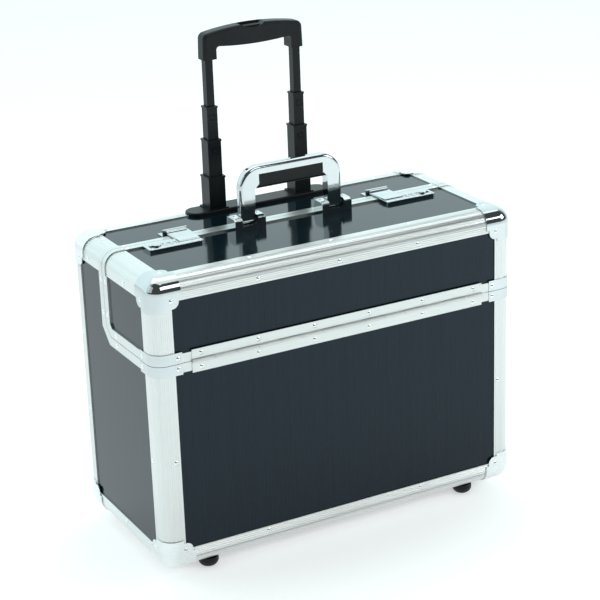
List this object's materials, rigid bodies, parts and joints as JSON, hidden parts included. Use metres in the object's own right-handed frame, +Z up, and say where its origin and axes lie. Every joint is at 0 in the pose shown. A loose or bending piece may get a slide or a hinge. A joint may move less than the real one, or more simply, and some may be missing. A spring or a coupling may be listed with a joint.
{
  "type": "wheeled aluminium-framed pilot case",
  "caption": "Upright rigid travel case with ribbed aluminium edge frame, hinged lid, top carry handle, combination locks, telescopic trolley handle and rear wheels.",
  "frame": {"origin": "centre of the footprint, on the floor under the feet and wheels", "axes": "+Z up, -Y to the front face with the lid hinge, +X to the right side seen from the front"},
  "size_m": [0.49, 0.2362, 0.598],
  "materials": {
    "ribbed_aluminium": "finely ribbed, bright anodised",
    "rim_aluminium": "satin anodised",
    "laminate_panel": "dark laminate with a fine upright grain",
    "bright_chrome": "polished",
    "satin_steel": "satin",
    "tube_aluminium": "black anodised",
    "black_plastic": "satin moulded",
    "wheel_rubber": "matt",
    "dial_metal": "satin with engraved digits"
  },
  "bodies": {
    "case": {"front_panel": "laminate_panel", "rear_panel": "laminate_panel", "bottom_panel": "laminate_panel", "side_panels": "laminate_panel", "top_rear_panel": "laminate_panel", "bottom_long_profiles": "ribbed_aluminium", "bottom_side_profiles": "ribbed_aluminium", "front_posts": "ribbed_aluminium", "rear_posts": "ribbed_aluminium", "top_rear_profile": "ribbed_aluminium", "top_side_profiles": "ribbed_aluminium", "case_rim": "rim_aluminium", "rear_corner_caps": "satin_steel", "bottom_corner_caps": "satin_steel", "case_joint_plates": "bright_chrome", "hinge_case_leaf": "rim_aluminium", "hinge_pin": "rim_aluminium", "case_rivets": "bright_chrome", "front_feet": "black_plastic", "wheel_housings": "black_plastic", "wheel_axles": "tube_aluminium", "trolley_bezel": "black_plastic", "trolley_sleeves": "tube_aluminium", "hasp_catches": "bright_chrome"},
    "lid": {"lid_front_panel": "laminate_panel", "lid_top_panel": "laminate_panel", "lid_side_panels": "laminate_panel", "lid_front_profile": "ribbed_aluminium", "lid_side_profiles": "ribbed_aluminium", "lid_posts": "ribbed_aluminium", "lid_rim": "rim_aluminium", "lid_corner_caps": "bright_chrome", "lid_joint_plates": "bright_chrome", "hinge_lid_leaf": "rim_aluminium", "lid_rivets": "bright_chrome", "lock_cases": "bright_chrome", "handle_brackets": "bright_chrome", "handle_pins": "bright_chrome"},
    "handle": {"handle_loop": "bright_chrome", "handle_grip": "black_plastic"},
    "hasp_left": {"hasp_left": "bright_chrome"},
    "hasp_right": {"hasp_right": "bright_chrome"},
    "slide_left": {"lock_slide_left": "bright_chrome"},
    "slide_right": {"lock_slide_right": "bright_chrome"},
    "dial_left_1": {"dial_left_1": "dial_metal"},
    "dial_left_2": {"dial_left_2": "dial_metal"},
    "dial_left_3": {"dial_left_3": "dial_metal"},
    "dial_right_1": {"dial_right_1": "dial_metal"},
    "dial_right_2": {"dial_right_2": "dial_metal"},
    "dial_right_3": {"dial_right_3": "dial_metal"},
    "lower_stage": {"lower_stage_tubes": "tube_aluminium"},
    "middle_stage": {"middle_stage_tubes": "tube_aluminium"},
    "upper_stage": {"upper_stage_tubes": "tube_aluminium"},
    "middle_pins": {"middle_lock_pins": "black_plastic"},
    "upper_pins": {"upper_lock_pins": "black_plastic"},
    "grip": {"grip_rods": "tube_aluminium", "grip_shell": "black_plastic"},
    "button": {"grip_button": "black_plastic"},
    "wheel_left": {"wheel_left": "wheel_rubber"},
    "wheel_right": {"wheel_right": "wheel_rubber"}
  },
  "joints": [
    {"name": "lid_hinge", "type": "hinge", "parent": "case", "child": "lid", "pos_m": [0, -0.1159, 0.271], "axis": [1, 0, 0], "range_deg": [0, 170]},
    {"name": "handle_pivot", "type": "hinge", "parent": "lid", "child": "handle", "pos_m": [0, 0.006, 0.381], "axis": [1, 0, 0], "range_deg": [0, 80]},
    {"name": "hasp_left_pivot", "type": "hinge", "parent": "lid", "child": "hasp_left", "pos_m": [-0.14, -0.003, 0.3739], "axis": [1, 0, 0], "range_deg": [0, 100]},
    {"name": "hasp_right_pivot", "type": "hinge", "parent": "lid", "child": "hasp_right", "pos_m": [0.14, -0.003, 0.3739], "axis": [1, 0, 0], "range_deg": [0, 100]},
    {"name": "slide_left_travel", "type": "slide", "parent": "lid", "child": "slide_left", "axis": [-1, 0, 0], "range_m": [0, 0.004], "stiffness_N_per_m": 250, "springref_m": -0.002},
    {"name": "slide_right_travel", "type": "slide", "parent": "lid", "child": "slide_right", "axis": [1, 0, 0], "range_m": [0, 0.004], "stiffness_N_per_m": 250, "springref_m": -0.002},
    {"name": "dial_left_1_turn", "type": "hinge", "parent": "lid", "child": "dial_left_1", "pos_m": [-0.1743, -0.004, 0.3698], "axis": [1, 0, 0], "continuous": true},
    {"name": "dial_left_2_turn", "type": "hinge", "parent": "lid", "child": "dial_left_2", "pos_m": [-0.166, -0.004, 0.3698], "axis": [1, 0, 0], "continuous": true},
    {"name": "dial_left_3_turn", "type": "hinge", "parent": "lid", "child": "dial_left_3", "pos_m": [-0.1577, -0.004, 0.3698], "axis": [1, 0, 0], "continuous": true},
    {"name": "dial_right_1_turn", "type": "hinge", "parent": "lid", "child": "dial_right_1", "pos_m": [0.1577, -0.004, 0.3698], "axis": [1, 0, 0], "continuous": true},
    {"name": "dial_right_2_turn", "type": "hinge", "parent": "lid", "child": "dial_right_2", "pos_m": [0.166, -0.004, 0.3698], "axis": [1, 0, 0], "continuous": true},
    {"name": "dial_right_3_turn", "type": "hinge", "parent": "lid", "child": "dial_right_3", "pos_m": [0.1743, -0.004, 0.3698], "axis": [1, 0, 0], "continuous": true},
    {"name": "lower_travel", "type": "slide", "parent": "case", "child": "lower_stage", "axis": [0, 0, 1], "range_m": [-0.029, 0.121]},
    {"name": "middle_travel", "type": "slide", "parent": "lower_stage", "child": "middle_stage", "axis": [0, 0, 1], "range_m": [-0.04, 0.11]},
    {"name": "upper_travel", "type": "slide", "parent": "middle_stage", "child": "upper_stage", "axis": [0, 0, 1], "range_m": [-0.035, 0.115]},
    {"name": "grip_travel", "type": "slide", "parent": "upper_stage", "child": "grip", "axis": [0, 0, 1], "range_m": [-0.051, 0.099]},
    {"name": "middle_pins_press", "type": "slide", "parent": "middle_stage", "child": "middle_pins", "axis": [0, 1, 0], "range_m": [0, 0.0005], "stiffness_N_per_m": 600, "springref_m": -0.002},
    {"name": "upper_pins_press", "type": "slide", "parent": "upper_stage", "child": "upper_pins", "axis": [0, 1, 0], "range_m": [0, 0.0005], "stiffness_N_per_m": 600, "springref_m": -0.002},
    {"name": "button_press", "type": "slide", "parent": "grip", "child": "button", "axis": [0, 0, -1], "range_m": [0, 0.003], "stiffness_N_per_m": 400, "springref_m": -0.002},
    {"name": "wheel_left_spin", "type": "hinge", "parent": "case", "child": "wheel_left", "pos_m": [-0.186, 0.0961, 0.022], "axis": [1, 0, 0], "continuous": true},
    {"name": "wheel_right_spin", "type": "hinge", "parent": "case", "child": "wheel_right", "pos_m": [0.186, 0.0961, 0.022], "axis": [1, 0, 0], "continuous": true}
  ]
}
